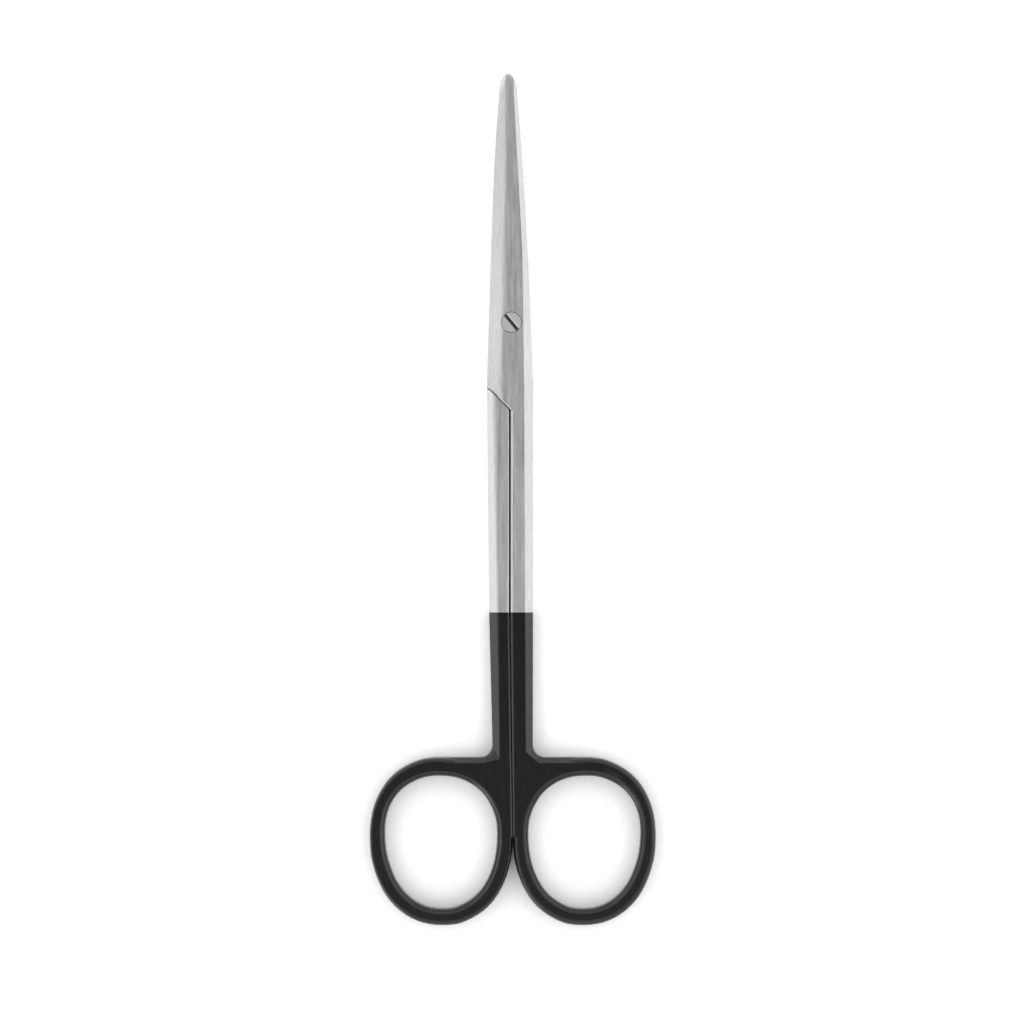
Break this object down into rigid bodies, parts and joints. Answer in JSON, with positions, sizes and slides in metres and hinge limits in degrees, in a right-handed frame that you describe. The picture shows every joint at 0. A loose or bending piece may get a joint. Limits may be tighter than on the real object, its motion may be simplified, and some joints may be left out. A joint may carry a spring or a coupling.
{
  "type": "dissecting scissors",
  "caption": "Straight ring-handled dissecting scissors with slim rounded blades, a slotted pivot screw and black coated shanks and finger rings.",
  "frame": {"origin": "on the pivot axis, at the rear face that the scissors lie on", "axes": "+Y from the finger rings to the tips, +Z along the pivot axis from the rear face to the screw's head, +X towards the ring of the upper half"},
  "size_m": [0.0487, 0.1449, 0.004],
  "materials": {
    "forging_steel": "satin brushed lengthwise, black coated from mid shank to the rings",
    "screw_steel": "satin"
  },
  "bodies": {
    "lower": {"lower_half": "forging_steel", "pivot_screw": "screw_steel"},
    "upper": {"upper_half": "forging_steel"}
  },
  "joints": [
    {"name": "pivot", "type": "hinge", "parent": "lower", "child": "upper", "pos_m": [0, 0, 0.002], "axis": [0, 0, 1], "range_deg": [0, 140]}
  ]
}
